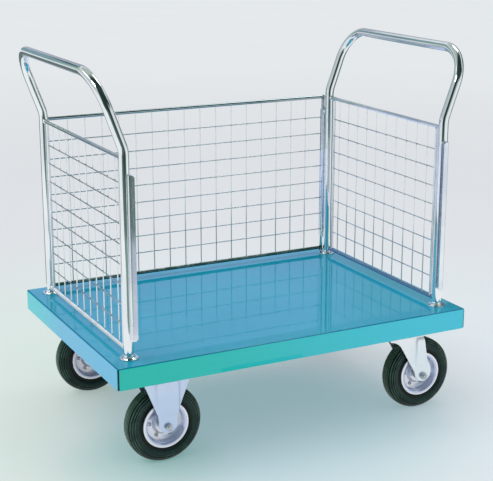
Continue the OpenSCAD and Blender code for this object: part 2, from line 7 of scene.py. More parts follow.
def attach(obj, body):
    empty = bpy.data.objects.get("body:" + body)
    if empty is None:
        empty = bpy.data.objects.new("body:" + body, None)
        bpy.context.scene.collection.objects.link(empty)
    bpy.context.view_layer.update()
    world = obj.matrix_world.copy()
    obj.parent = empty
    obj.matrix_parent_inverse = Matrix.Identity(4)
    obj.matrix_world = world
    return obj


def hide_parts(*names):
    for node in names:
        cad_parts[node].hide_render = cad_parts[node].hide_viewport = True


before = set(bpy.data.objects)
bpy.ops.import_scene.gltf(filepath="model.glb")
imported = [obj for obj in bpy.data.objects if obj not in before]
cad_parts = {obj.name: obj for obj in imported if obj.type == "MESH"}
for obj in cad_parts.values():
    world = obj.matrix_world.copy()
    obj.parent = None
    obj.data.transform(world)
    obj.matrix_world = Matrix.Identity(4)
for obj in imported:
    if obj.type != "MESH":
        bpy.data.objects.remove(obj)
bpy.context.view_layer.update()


# Deck tray: one 2 mm steel sheet with its four sides folded down as skirts and its corners left open.
# It is gloss painted, with painted reflection in its colour: blue on the top, green to cyan along the skirts.
# A thin line of painted shade runs along each fold, and the inside is painted dark as shade under the deck.
# The tray is welded to the bearers from below, and each post comes up through a pressed seat.
def tint(red, green, blue):
    shares = [value / 255 for value in (red, green, blue)]
    return (*[s / 12.92 if s <= 0.04045 else ((s + 0.055) / 1.055) ** 2.4 for s in shares], 1.0)


def add(tree, kind, feeds=None, **settings):
    node = tree.nodes.new("ShaderNode" + kind)
    for name, value in settings.items():
        setattr(node, name, value)
    for name, value in (feeds or {}).items():
        if isinstance(value, bpy.types.NodeSocket):
            tree.links.new(value, node.inputs[name])
        else:
            node.inputs[name].default_value = value
    return node


def blended(tree, share, first, second):
    mix = add(tree, "Mix", {0: share, 6: first, 7: second}, data_type="RGBA")
    return mix.outputs[2]


def spread(tree, value, low, high, out_low=0.0, out_high=1.0):
    feeds = {0: value, 1: low, 2: high, 3: out_low, 4: out_high}
    return add(tree, "MapRange", feeds, interpolation_type="SMOOTHSTEP").outputs[0]


def ranged(tree, mask, low, high):
    return spread(tree, mask, 0.0, 1.0, low, high)


def reckoned(tree, operation, first, second=0.0):
    return add(tree, "Math", {0: first, 1: second}, operation=operation).outputs[0]


def axes(tree, vector):
    return add(tree, "SeparateXYZ", {0: vector}).outputs


def new_group(name, inputs, outputs):
    group = bpy.data.node_groups.new(name, "ShaderNodeTree")
    for label, kind, value in inputs:
        socket = group.interface.new_socket(label, in_out="INPUT", socket_type="NodeSocket" + kind)
        socket.default_value = value
    for label, kind in outputs:
        group.interface.new_socket(label, in_out="OUTPUT", socket_type="NodeSocket" + kind)
    return group, group.nodes.new("NodeGroupInput").outputs, group.nodes.new("NodeGroupOutput").inputs


mottle, source, result = new_group(
    "Mottle", [("Place", "Vector", (0, 0, 0)), ("Scale", "Float", 5.0), ("Detail", "Float", 3.0)],
    [("Mask", "Float")])
cloud = add(mottle, "TexNoise",
            {"Vector": source["Place"], "Scale": source["Scale"], "Detail": source["Detail"]})
mottle.links.new(spread(mottle, cloud.outputs["Fac"], 0.32, 0.68), result["Mask"])

peel, source, result = new_group(
    "Orange_peel", [("Place", "Vector", (0, 0, 0)), ("Scale", "Float", 300.0)], [("Height", "Float")])
ripple = add(peel, "TexNoise", {"Vector": source["Place"], "Scale": source["Scale"], "Detail": 1.0})
sag = add(peel, "TexNoise", {"Vector": source["Place"], "Scale": 14.0, "Detail": 0.0})
heavy = reckoned(peel, "MULTIPLY", sag.outputs["Fac"], 3.0)
peel.links.new(reckoned(peel, "ADD", ripple.outputs["Fac"], heavy), result["Height"])


def placed(tree, group, feeds):
    return add(tree, "Group", feeds, node_tree=group).outputs


def clouds(tree, place, scale, detail=3.0):
    return placed(tree, mottle, {"Place": place, "Scale": scale, "Detail": detail})["Mask"]


def peeled(tree, place, scale):
    return placed(tree, peel, {"Place": place, "Scale": scale})["Height"]


def new_finish(name, metallic):
    material = bpy.data.materials.new(name)
    material.use_nodes = True
    tree = material.node_tree
    shader = tree.nodes["Principled BSDF"]
    shader.inputs["Metallic"].default_value = metallic
    place = add(tree, "TexCoord").outputs["Object"]
    return material, tree, shader, place


def coated(tree, shader, colour, roughness):
    for socket, value in (("Base Color", colour), ("Roughness", roughness)):
        tree.links.new(value, shader.inputs[socket])


def dimpled(tree, shader, height, strength, depth):
    bump = add(tree, "Bump", {"Height": height, "Strength": strength, "Distance": depth})
    tree.links.new(bump.outputs["Normal"], shader.inputs["Normal"])


deck_paint, tree, shader, place = new_finish("Deck_paint", 0.0)
along = axes(tree, place)
facing = axes(tree, add(tree, "NewGeometry").outputs["Normal"])
# Painted reflection: the skirts run from green to cyan along their length, and the top is painted blue.
long_skirt = blended(tree, spread(tree, along["X"], -0.5, 0.5), tint(20, 203, 187), tint(72, 214, 238))
end_skirt = blended(tree, spread(tree, along["Y"], 0.0, 0.32), tint(74, 184, 225), tint(2, 204, 212))
to_end = reckoned(tree, "ABSOLUTE", facing["X"])
skirts = blended(tree, spread(tree, to_end, 0.3, 0.7), long_skirt, end_skirt)
patches = clouds(tree, place, 3.5)
top = blended(tree, patches, tint(22, 152, 184), tint(32, 157, 188))
sides_and_top = blended(tree, spread(tree, facing["Z"], 0.5, 0.95), skirts, top)
# Painted shade: a thin dark blue line along each fold between the top and a skirt.
on_fold = reckoned(tree, "SUBTRACT", spread(tree, facing["Z"], 0.40, 0.60),
                   spread(tree, facing["Z"], 0.95, 0.995))
painted = blended(tree, ranged(tree, on_fold, 0.0, 0.8), sides_and_top, tint(10, 84, 122))
from_middle = [reckoned(tree, "ABSOLUTE", along[axis]) for axis in ("X", "Y")]
end_skin, side_skin, top_skin = (0.4983, 0.4988), (0.3483, 0.3488), (0.2934, 0.2938)
on_skirt = reckoned(tree, "MAXIMUM", spread(tree, from_middle[0], *end_skin),
                    spread(tree, from_middle[1], *side_skin))
outside = reckoned(tree, "MAXIMUM", on_skirt, spread(tree, along["Z"], *top_skin))
# Painted shade: everything inside the outer skin is painted dark, standing in for the shade under the deck.
inside_shade = blended(tree, patches, tint(26, 34, 38), tint(38, 46, 50))
coated(tree, shader, blended(tree, outside, inside_shade, painted), ranged(tree, patches, 0.02, 0.05))
dimpled(tree, shader, peeled(tree, place, 420.0), strength=0.08, depth=0.00003)


def dressed(node, material, crease=35):
    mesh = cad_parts[node].data
    mesh.materials.clear()
    mesh.materials.append(material)
    if "custom_normal" in mesh.attributes:
        mesh.attributes.remove(mesh.attributes["custom_normal"])
    mesh.shade_smooth()
    mesh.set_sharp_from_angle(angle=math.radians(crease))


dressed("deck_tray", deck_paint, crease=25)


# Under-deck frame: two channels across the deck for the castors, a channel between them and a sleeve for each
# post, all cut from sheet and tube, welded, and brushed with dark satin paint that has gathered in streaks.
frame_paint, tree, shader, place = new_finish("Frame_paint", 0.0)
streaks = clouds(tree, place, 22.0, 6.0)
coated(tree, shader, blended(tree, streaks, tint(44, 50, 56), tint(64, 70, 76)),
       ranged(tree, streaks, 0.38, 0.55))
dimpled(tree, shader, peeled(tree, place, 180.0), strength=0.3, depth=0.0002)
for node in ("left_castor_bearer", "right_castor_bearer", "centre_stiffener", "post_sockets"):
    dressed(node, frame_paint)


# Small fasteners under the deck: the screws that clamp the posts, and the bolts and weld nuts of the castors.
# They are zinc-plated steel, a little dulled, with the turning marks of the head still to be seen.
hairlines, source, result = new_group(
    "Hairlines", [("Place", "Vector", (0, 0, 0)), ("Stretch", "Vector", (1, 1, 1))], [("Mask", "Float")])
drawn = add(hairlines, "Mapping", {"Vector": source["Place"], "Scale": source["Stretch"]})
lines = add(hairlines, "TexNoise",
            {"Vector": drawn.outputs[0], "Scale": 1.0, "Detail": 5.0, "Roughness": 0.7})
hairlines.links.new(spread(hairlines, lines.outputs["Fac"], 0.42, 0.72), result["Mask"])


def scratches(tree, place, stretch):
    return placed(tree, hairlines, {"Place": place, "Stretch": stretch})["Mask"]


plated_steel, tree, shader, place = new_finish("Plated_steel", 1.0)
marks = scratches(tree, place, (900, 900, 120))
cloudy = clouds(tree, place, 60.0)
coated(tree, shader, blended(tree, cloudy, tint(168, 174, 186), tint(206, 208, 214)),
       ranged(tree, marks, 0.24, 0.42))
dimpled(tree, shader, marks, strength=0.15, depth=0.0001)
for node in ("socket_screws", "castor_bolts", "castor_nuts"):
    dressed(node, plated_steel, crease=30)


# Handle tubes: one length of 25 mm tube at each end, bent into two posts that lean outward above the mesh and
# join in a rounded top bar. Polished and chrome plated, with faint polishing lines along the tube.
def rounded(corners, radii, closed=False, turn_step=6.0):
    corners = [Vector((*c, 0)) if len(c) == 2 else Vector(c) for c in corners]
    count = len(corners)
    path = []
    for i, here in enumerate(corners):
        radius = radii[i] if isinstance(radii, (list, tuple)) else radii
        if radius == 0 or (not closed and i in (0, count - 1)):
            path.append(here)
            continue
        into = (here - corners[i - 1]).normalized()
        out = (corners[(i + 1) % count] - here).normalized()
        turn = into.angle(out)
        if turn < 0.001:
            path.append(here)
            continue
        centre = here + (out - into).normalized() * radius / math.cos(turn / 2)
        start = here - into * radius * math.tan(turn / 2) - centre
        steps = max(2, math.ceil(math.degrees(turn) / turn_step))
        for step in range(steps + 1):
            path.append(centre + Matrix.Rotation(turn * step / steps, 3, into.cross(out)) @ start)
    return path


def ringed(rings, sides):
    faces = []
    for ring in range(rings):
        for side in range(sides):
            near, far, after = ring * sides, (ring + 1) * sides, (side + 1) % sides
            faces.append((near + side, near + after, far + after, far + side))
    return faces


def swept(path, radius, sides):
    path = [Vector(spot) for spot in path]
    points, across, over = [], None, None
    for i, spot in enumerate(path):
        ahead = (path[min(i + 1, len(path) - 1)] - path[max(i - 1, 0)]).normalized()
        across = ahead.orthogonal() if across is None else across - ahead * across.dot(ahead)
        across.normalize()
        turned_over = ahead.cross(across)
        over = turned_over if over is None or over.dot(turned_over) > 0 else -turned_over
        reach = radius[i] if isinstance(radius, (list, tuple)) else radius
        for side in range(sides):
            angle = 2 * math.pi * side / sides
            points.append(spot + (across * math.cos(angle) + over * math.sin(angle)) * reach)
    caps = [tuple(range(sides - 1, -1, -1)), tuple(range(len(points) - sides, len(points)))]
    return points, ringed(len(path) - 1, sides) + caps


def joined(shapes):
    points, faces = [], []
    for more_points, more_faces in shapes:
        start = len(points)
        points += list(more_points)
        faces += [tuple(start + corner for corner in face) for face in more_faces]
    return points, faces


def moved(shape, matrix):
    return [matrix @ Vector(point) for point in shape[0]], shape[1]


def new_mesh(name, shape, material, crease=35):
    mesh = bpy.data.meshes.new(name)
    mesh.from_pydata(shape[0], [], shape[1])
    work = bmesh.new()
    work.from_mesh(mesh)
    bmesh.ops.remove_doubles(work, verts=work.verts, dist=1e-6)
    bmesh.ops.dissolve_degenerate(work, edges=work.edges, dist=1e-7)
    bmesh.ops.recalc_face_normals(work, faces=work.faces)
    work.to_mesh(mesh)
    work.free()
    mesh.materials.append(material)
    mesh.shade_smooth()
    mesh.set_sharp_from_angle(angle=math.radians(crease))
    return mesh


def set_out(name, data):
    made = bpy.data.objects.new(name, data)
    bpy.context.scene.collection.objects.link(made)
    return made


def piece(name, mesh, body, stands_for, place=None):
    made = set_out(name, mesh)
    if place is not None:
        made.matrix_world = place
    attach(made, body)
    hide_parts(stands_for)


chrome, tree, shader, place = new_finish("Bright_chrome", 1.0)
polish = scratches(tree, place, (700, 700, 18))
haze = clouds(tree, place, 9.0, 4.0)
coated(tree, shader, blended(tree, haze, tint(238, 242, 243), tint(250, 251, 251)),
       reckoned(tree, "ADD", ranged(tree, polish, 0.02, 0.07), ranged(tree, haze, 0.0, 0.03)))
dimpled(tree, shader, polish, strength=0.05, depth=0.00005)

post_x, post_y, post_foot_z, bore_end_z = 0.4475, 0.291, 0.246, 0.262
tube_radius, tube_wall, lean_bend, top_bend = 0.0125, 0.0015, 0.070, 0.090
lean_corner_z, top_bar_x, top_bar_z = 0.803, 0.51214, 0.98060
inside = tube_radius - tube_wall
for side, sign in (("left", -1), ("right", 1)):
    front_half = [(sign * post_x, -post_y, post_foot_z), (sign * post_x, -post_y, lean_corner_z),
                  (sign * top_bar_x, -post_y, top_bar_z)]
    corners = front_half + [(x, -y, z) for x, y, z in reversed(front_half)]
    bends = rounded(corners, [0, lean_bend, top_bend, top_bend, lean_bend, 0], turn_step=3.0)
    bore = [Vector((sign * post_x, y, bore_end_z)) for y in (-post_y, post_y)]
    path = [bore[0], bends[0], *bends, bends[-1], bore[1]]
    tube = swept(path, [inside, inside] + [tube_radius] * len(bends) + [inside, inside], sides=40)
    piece(f"{side}_push_handle", new_mesh(f"{side}_push_handle", tube, chrome), "platform",
          f"{side}_handle_tube")


# Corner seams: a thin black strip runs down the open corner between two skirts, from the top of the tray to
# its foot, as painted shade in the gap. It stands for no solid.
seam_shade, tree, shader, place = new_finish("Seam_shade", 0.0)
dull = clouds(tree, place, 60.0)
coated(tree, shader, blended(tree, dull, tint(6, 8, 9), tint(14, 17, 18)), ranged(tree, dull, 0.45, 0.60))
seam_x, seam_y, seam_foot, seam_head, seam_steps = 0.4974, 0.3474, 0.2415, 0.2925, 16
bead_radius, bead_ripple = 0.0019, 0.0002
run = [seam_foot + (seam_head - seam_foot) * step / seam_steps for step in range(seam_steps + 1)]
swell = [bead_radius + bead_ripple * math.sin(step * 2.3) for step in range(seam_steps + 1)]
beads = [swept([(sign_x * seam_x, sign_y * seam_y, z) for z in run], swell, sides=14)
         for sign_x, sign_y in ((-1, -1), (1, -1), (1, 1), (-1, 1))]
seam_beads = set_out("corner_seam_beads", new_mesh("corner_seam_beads", joined(beads), seam_shade))
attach(seam_beads, "platform")


# Post collars: turned chrome flanges that slide down each post and sit on its pressed seat.
# Each has a thin flange with an eased rim and a short boss that hugs the tube.
def turned(profile, steps, axis="Y", sway=lambda step: 0):
    points, faces = [], []
    count = len(profile)
    for step in range(steps):
        angle = 2 * math.pi * step / steps
        for radius, height, *loose in profile:
            height += sum(loose) * sway(step)
            x, y = radius * math.cos(angle), radius * math.sin(angle)
            points.append((x, height, y) if axis == "Y" else (x, y, height))
        after = (step + 1) % steps
        for i in range(count):
            j = (i + 1) % count
            faces.append((step * count + i, step * count + j, after * count + j, after * count + i))
    return points, faces


collar_seat = 0.2955
collar = rounded([(0.01252, 0), (0.023, 0), (0.023, 0.0028), (0.0178, 0.0034), (0.0152, 0.0050),
                  (0.01505, 0.0103), (0.01252, 0.0105)],
                 [0, 0.0003, 0.0009, 0.001, 0.0012, 0.0009, 0], closed=True, turn_step=15)
collars = joined([moved(turned(collar, steps=64, axis="Z"), Matrix.Translation((x, y, collar_seat)))
                  for x in (-post_x, post_x) for y in (-post_y, post_y)])
piece("post_foot_collars", new_mesh("post_foot_collars", collars, chrome, crease=45), "platform",
      "post_collars")


# End frames: a 10 mm rail near the deck and one under the bend, with an 8 mm rod up each edge of the mesh.
# Their ends are welded to the posts and to each other, with a small fillet of weld at each joint.
# Painted light on the plating: a painted highlight on the left foot rail, a painted reflection of the blue
# deck on the right one, painted shade and deck reflection in dark green on the foot of the side panel, and a
# painted reflection in grey on its top rail.
bright_wire, tree, shader, place = new_finish("Bright_wire", 1.0)
drawn_lines = scratches(tree, place, (260, 260, 260))
tarnish = clouds(tree, place, 30.0, 5.0)
bright = blended(tree, tarnish, tint(230, 234, 236), tint(248, 249, 250))
along = axes(tree, place)
on_panel = spread(tree, along["Y"], 0.298, 0.302)
at_foot = reckoned(tree, "MULTIPLY", on_panel, spread(tree, along["Z"], 0.3185, 0.3155))
at_head = reckoned(tree, "MULTIPLY", on_panel, spread(tree, along["Z"], 0.774, 0.777))
low_down = spread(tree, along["Z"], 0.3190, 0.3185)
# Painted highlight: the left foot rail is made pale and less metallic.
painted_highlight = reckoned(tree, "MULTIPLY", spread(tree, along["X"], -0.4422, -0.4425), low_down)
# Painted reflection: the right foot rail is tinted blue-grey as if mirroring the deck.
painted_deck_reflection = reckoned(tree, "MULTIPLY", spread(tree, along["X"], 0.4422, 0.4425), low_down)
# Painted shade and reflection: the side panel's foot rail is darkened to green, broken by noise.
painted_foot_shade = reckoned(tree, "MULTIPLY", at_foot, ranged(tree, tarnish, 0.8, 0.95))
plating = blended(tree, ranged(tree, painted_deck_reflection, 0.0, 0.9), bright, tint(112, 142, 170))
# Painted reflection: the side panel's top rail is greyed.
plating = blended(tree, ranged(tree, at_head, 0.0, 0.9), plating, tint(152, 170, 174))
coated(tree, shader, blended(tree, painted_foot_shade, plating, tint(34, 88, 74)), ranged(tree, drawn_lines, 0.05, 0.14))
tree.links.new(ranged(tree, painted_highlight, 1.0, 0.3), shader.inputs["Metallic"])
dimpled(tree, shader, drawn_lines, strength=0.08, depth=0.00005)


def welded_bar(start, end, radius, flare, sides=20):
    start, end = Vector(start), Vector(end)
    along = (end - start).normalized()
    reach = flare * 2.2
    steps = [(0, flare), (0.25, flare * 0.72), (0.5, flare * 0.4), (0.75, flare * 0.13), (1, 0)]
    path = [start + along * reach * share for share, _ in steps]
    path += [end - along * reach * share for share, _ in reversed(steps)]
    swells = [radius + more for _, more in steps]
    return swept(path, swells + swells[::-1], sides)


rail_radius, rail_fillet = 0.005, 0.0018
edge_rod_radius, edge_rod_fillet, edge_rod_y = 0.004, 0.001, 0.262
top_rail_z, end_rail_z, rail_sink, rod_sink = 0.782, 0.313, 0.0122, 0.0045
for side, sign in (("left", -1), ("right", 1)):
    x = sign * post_x
    bars = [welded_bar((x, -post_y + rail_sink, z), (x, post_y - rail_sink, z), rail_radius, rail_fillet)
            for z in (end_rail_z, top_rail_z)]
    bars += [welded_bar((x, y, end_rail_z + rod_sink), (x, y, top_rail_z - rod_sink),
                        edge_rod_radius, edge_rod_fillet) for y in (-edge_rod_y, edge_rod_y)]
    piece(f"{side}_end_rails", new_mesh(f"{side}_end_rails", joined(bars), bright_wire), "platform",
          f"{side}_end_frame")


# End meshes: 3 mm wires on a 50 mm pitch, upright wires laid inside the cross wires and spot welded at each
# crossing, so that every crossing has a small squeezed nugget. The wire ends are welded to the frame. The
# uprights carry a painted highlight that fades to a darker grey towards the deck, except on the left end; the
# cross wires keep their drawn grey.
def nugget(centre, reach_x, reach_y, reach_z, rings=5, sides=8):
    points = []
    for ring in range(rings + 1):
        rise = math.pi * ring / rings
        for side in range(sides):
            turn = 2 * math.pi * side / sides
            points.append(Vector(centre) + Vector((reach_x * math.sin(rise) * math.cos(turn),
                                                   reach_y * math.sin(rise) * math.sin(turn),
                                                   reach_z * math.cos(rise))))
    return points, ringed(rings, sides)


wire_radius, wire_pitch, first_row_z, row_count = 0.0015, 0.05, 0.370, 8
lay_in, wire_run_in, wire_sink, weld_sink = 0.0026, 0.001, 0.0035, 0.0046
crossing_weld, rail_weld = (0.0021, 0.0019, 0.0021), (0.0023, 0.0021, 0.0026)
rod_weld = (0.0026, 0.0022, 0.0022)


def wire_mesh(uprights, half_span, bottom_rail):
    rows = [first_row_z + wire_pitch * row for row in range(row_count)]
    columns = [(column - (uprights - 1) / 2) * wire_pitch for column in range(uprights)]
    end_x, foot, head = half_span + wire_run_in, bottom_rail + wire_sink, top_rail_z - wire_sink
    shapes = [swept([(-end_x, 0, z), (end_x, 0, z)], wire_radius, sides=12) for z in rows]
    shapes += [swept([(x, -lay_in, foot), (x, -lay_in, head)], wire_radius, sides=12) for x in columns]
    shapes += [nugget((x, -lay_in / 2, z), *crossing_weld) for x in columns for z in rows]
    shapes += [nugget((x, -lay_in * 0.75, z), *rail_weld)
               for x in columns for z in (bottom_rail + weld_sink, top_rail_z - weld_sink)]
    shapes += [nugget((end * half_span, 0, z), *rod_weld) for end in (-1, 1) for z in rows]
    return joined(shapes)


mesh_wire, tree, shader, place = new_finish("Mesh_wire", 1.0)
tarnish = clouds(tree, place, 30.0, 5.0)
spot = axes(tree, place)
row = reckoned(tree, "SUBTRACT", spot["Z"], first_row_z - wire_pitch / 2)
off_row = reckoned(tree, "PINGPONG", row, wire_pitch / 2)
above_rows = spread(tree, spot["Z"], 0.745, 0.750)
upright = reckoned(tree, "MAXIMUM", spread(tree, off_row, 0.0228, 0.0222), above_rows)
drawn = blended(tree, tarnish, tint(200, 206, 209), tint(220, 224, 226))
# Painted highlight: the uprights are near white and hardly metallic, paler than the cross wires.
painted_highlight = blended(tree, tarnish, tint(250, 252, 253), tint(254, 255, 255))
# The painted highlight fades to a darker grey towards the deck, except on the left end.
lower_fade = reckoned(tree, "MULTIPLY", spread(tree, spot["Z"], 0.55, 0.37),
                    spread(tree, spot["X"], -0.44, -0.42))
painted_highlight = blended(tree, ranged(tree, lower_fade, 0.0, 0.75), painted_highlight, tint(132, 146, 152))
coated(tree, shader, blended(tree, upright, drawn, painted_highlight), ranged(tree, tarnish, 0.12, 0.30))
tree.links.new(ranged(tree, upright, 1.0, 0.05), shader.inputs["Metallic"])
end_uprights = 10
for side, sign, turn in (("left", -1, 90), ("right", 1, -90)):
    stand = Matrix.Translation((sign * post_x, 0, 0)) @ Matrix.Rotation(math.radians(turn), 4, "Z")
    wires = moved(wire_mesh(end_uprights, edge_rod_y - edge_rod_radius, end_rail_z), stand)
    piece(f"{side}_end_wires", new_mesh(f"{side}_end_wires", wires, mesh_wire, crease=60), "platform",
          f"{side}_end_mesh")


# Panel guides: channels folded from 2 mm strip, stitched to the posts by three short welds each.
# Open towards the middle of the truck, so that a panel's end rod drops in from above. Bright plated.
guide_plate, tree, shader, place = new_finish("Guide_plate", 1.0)
rolled = scratches(tree, place, (500, 500, 30))
bloom = clouds(tree, place, 14.0, 5.0)
coated(tree, shader, blended(tree, bloom, tint(224, 229, 236), tint(246, 248, 250)),
       ranged(tree, rolled, 0.14, 0.30))
dimpled(tree, shader, rolled, strength=0.10, depth=0.00008)


def stood_up(ribbon, low, high):
    count, half = len(ribbon), len(ribbon) // 2
    points = [(x, y, low(x)) for x, y, _ in ribbon] + [(x, y, high(x)) for x, y, _ in ribbon]
    faces = ringed(1, count)
    for first, last in ((0, count - 1), (count, 2 * count - 1)):
        faces += [(first + i, first + i + 1, last - 1 - i, last - i) for i in range(half - 1)]
    return points, faces


guide_foot, guide_head, lead_in = 0.345, 0.748, 0.005
free_x, web_x, near_y, far_y, strip = -0.0145, 0.0005, -0.01255, -0.02755, 0.002
outer_bends = rounded([(free_x, near_y), (free_x + lead_in, near_y), (web_x, near_y), (web_x, far_y),
                       (free_x + lead_in, far_y), (free_x, far_y)],
                      [0, 0, 0.0035, 0.0035, 0, 0], turn_step=8)
inner_bends = rounded([(free_x, near_y - strip), (free_x + lead_in, near_y - strip),
                       (web_x - strip, near_y - strip), (web_x - strip, far_y + strip),
                       (free_x + lead_in, far_y + strip), (free_x, far_y + strip)],
                      [0, 0, 0.0012, 0.0012, 0, 0], turn_step=8)
channel = stood_up(outer_bends + inner_bends[::-1],
                   lambda x: guide_foot + max(0, free_x + lead_in - x),
                   lambda x: guide_head - max(0, free_x + lead_in - x))
stitch_x, stitch_y, stitch_length, stitch_heights = -0.0092, -0.0113, 0.018, (0.360, 0.545, 0.735)
stitch = [0.0012, 0.0022, 0.0026]
stitch += [0.0024 + 0.0003 * math.cos(step * math.pi * 2 / 3) for step in range(3, 22)]
stitch += [0.0025, 0.0020, 0.0011]
for end, sign_x in (("left", -1), ("right", 1)):
    for side, sign_y in (("front", -1), ("rear", 1)):
        shapes = [channel]
        for middle in stitch_heights:
            foot = middle - stitch_length / 2
            bead = [(stitch_x, stitch_y, foot + stitch_length * step / (len(stitch) - 1))
                    for step in range(len(stitch))]
            shapes.append(swept(bead, stitch, sides=12))
        flip = Matrix.Diagonal((sign_x, -sign_y, 1, 1))
        shape = moved(joined(shapes), Matrix.Translation((sign_x * post_x, sign_y * post_y, 0)) @ flip)
        name = f"{side}_{end}_guide_channel"
        piece(name, new_mesh(name, shape, guide_plate, crease=40), "platform",
              f"{side}_{end}_panel_guide")


# Lift-out side panel: two 10 mm rods that drop into the rear guides, a rail along the top and the bottom, and
# the same welded wire infill as the ends. The panel stands on its rods, just clear of the collars.
panel_y, panel_rod_x, panel_foot, panel_rail_z = 0.31105, 0.437, 0.2994, 0.310
panel_uprights, panel_rail_radius, panel_fillet = 16, rail_radius * 0.985, 0.0006
rod_head = top_rail_z + rail_radius
eased = [(0, -0.0012), (0.0004, -0.0004), (0.0012, 0)]
bars = [welded_bar((-panel_rod_x, panel_y, z), (panel_rod_x, panel_y, z), panel_rail_radius, panel_fillet,
                   sides=24) for z in (panel_rail_z, top_rail_z)]
for x in (-panel_rod_x, panel_rod_x):
    rod = [(x, panel_y, panel_foot + rise) for rise, _ in eased]
    rod += [(x, panel_y, rod_head - rise) for rise, _ in reversed(eased)]
    easing = [rail_radius + less for _, less in eased]
    bars.append(swept(rod, easing + easing[::-1], sides=24))
piece("side_panel_rails", new_mesh("side_panel_rails", joined(bars), bright_wire), "side_panel",
      "side_panel_frame")
wires = moved(wire_mesh(panel_uprights, panel_rod_x - rail_radius, panel_rail_z),
              Matrix.Translation((0, panel_y, 0)))
piece("side_panel_wires", new_mesh("side_panel_wires", wires, mesh_wire, crease=60), "side_panel",
      "side_panel_mesh")


# Castor forks: pressed from 4 mm steel strip, bent over into two legs with a raised panel down each leg,
# then zinc plated. The left pair is welded to its plates and has a blue bloom. The right pair turns under a
# ball race and is plated paler.
fork_finishes = []
for name, deep, pale in (("Blue_zinc", tint(203, 221, 246), tint(216, 230, 249)),
                         ("Pale_zinc", tint(238, 248, 253), tint(252, 254, 255))):
    finish, tree, shader, place = new_finish(name, 0.7)
    bloom = clouds(tree, place, 9.0, 2.0)
    stain = clouds(tree, place, 47.0, 2.0)
    press = scratches(tree, place, (240, 240, 40))
    plating = blended(tree, spread(tree, stain, 0.80, 1.0, 0.0, 0.12), blended(tree, bloom, deep, pale),
                      tint(232, 230, 214))
    coated(tree, shader, plating, ranged(tree, press, 0.20, 0.26))
    dimpled(tree, shader, press, strength=0.04, depth=0.0001)
    fork_finishes.append(finish)
blue_zinc, pale_zinc = fork_finishes

sheet, leg_y, bend_radius = 0.004, 0.033, 0.006
tip_z, tip_radius = 0.109, 0.025
tip_steps, leg_steps, bend_steps, crown_steps, columns = 12, 44, 8, 4, 56


def outline_at(z, corners):
    for (low, low_x), (high, high_x) in zip(corners, corners[1:]):
        if z <= high:
            return low_x + (high_x - low_x) * (z - low) / (high - low)
    return corners[-1][1]


def pressed_fork(crown_z, left_edge, right_edge, raised):
    rows = []
    for step in range(tip_steps + 1):
        angle = math.pi / 2 * step / tip_steps
        rows.append((-leg_y, tip_z - tip_radius * math.cos(angle), (-1, 0), tip_radius * math.sin(angle)))
    straight_top = crown_z - sheet / 2 - bend_radius
    for step in range(1, leg_steps + 1):
        rows.append((-leg_y, tip_z + (straight_top - tip_z) * step / leg_steps, (-1, 0), None))
    for step in range(1, bend_steps + 1):
        angle = math.pi / 2 * step / bend_steps
        y, z = -leg_y + bend_radius * (1 - math.cos(angle)), straight_top + bend_radius * math.sin(angle)
        rows.append((y, z, (-math.cos(angle), math.sin(angle)), None))
    for step in range(1, crown_steps + 1):
        rows.append((-(leg_y - bend_radius) * (1 - step / crown_steps), crown_z - sheet / 2, (0, 1), None))
    rows += [(-y, z, (-ny, nz), reach) for y, z, (ny, nz), reach in rows[-2::-1]]
    faces_in_out = []
    for lift in (sheet / 2, -sheet / 2):
        points = []
        for y, z, (ny, nz), reach in rows:
            first, last = outline_at(z, left_edge), outline_at(z, right_edge)
            if reach is not None:
                first, last = -reach, reach
            for column in range(columns + 1):
                x = first + (last - first) * column / columns
                rise = lift + raised(x, z)
                points.append((x, y + ny * rise, z + nz * rise))
        faces_in_out.append(points)
    wide, count = columns + 1, len(rows)
    points = faces_in_out[0] + faces_in_out[1]
    under = len(faces_in_out[0])
    faces = []
    for row in range(count - 1):
        for column in range(columns):
            a = row * wide + column
            faces.append((a, a + 1, a + wide + 1, a + wide))
            faces.append((under + a, under + a + wide, under + a + wide + 1, under + a + 1))
        for column in (0, columns):
            a = row * wide + column
            faces.append((a, a + wide, under + a + wide, under + a))
    return points, faces


def ramp(value, low, high):
    return min(max((value - low) / (high - low), 0), 1)


def panel_depth(z):
    return 0.003 + 0.0015 * ramp(z, 0.125, 0.145)


def fixed_raise(x, z):
    return panel_depth(z) * ramp(0.034 - abs(x), 0.0, 0.006) * (1 - ramp(z, 0.218, 0.227))


def swivel_raise(x, z):
    return panel_depth(z) * ramp(x, -0.027, -0.021) * (1 - ramp(z, 0.204, 0.213))


plate_x, plate_y = 0.065, 0.07
plate_outline = rounded([(-plate_x, -plate_y), (plate_x, -plate_y), (plate_x, plate_y), (-plate_x, plate_y)],
                        0.006, closed=True, turn_step=15)


def solid_plate(outline, low, high, ease):
    count = len(outline)
    inner = [spot * (1 - ease / plate_x) for spot in outline]
    levels = [(inner, low), (outline, low + ease), (outline, high - ease), (inner, high)]
    points = [(spot.x, spot.y, z) for ring, z in levels for spot in ring]
    caps = [tuple(range(count - 1, -1, -1)), tuple(range(3 * count, 4 * count))]
    return points, ringed(3, count) + caps


plate_foot, plate_head, plate_ease = 0.235, 0.240, 0.0006
fixed_edge = [(tip_z, tip_radius), (0.118, 0.0252), (0.131, 0.0265), (0.150, 0.0336), (0.216, 0.060),
              (plate_head, 0.060)]
fixed_fork = joined([
    pressed_fork(plate_foot, [(z, -x) for z, x in fixed_edge], fixed_edge, fixed_raise),
    solid_plate(plate_outline, plate_foot, plate_head, plate_ease)])
fixed_fork_mesh = new_mesh("fixed_fork", fixed_fork, blue_zinc, crease=50)

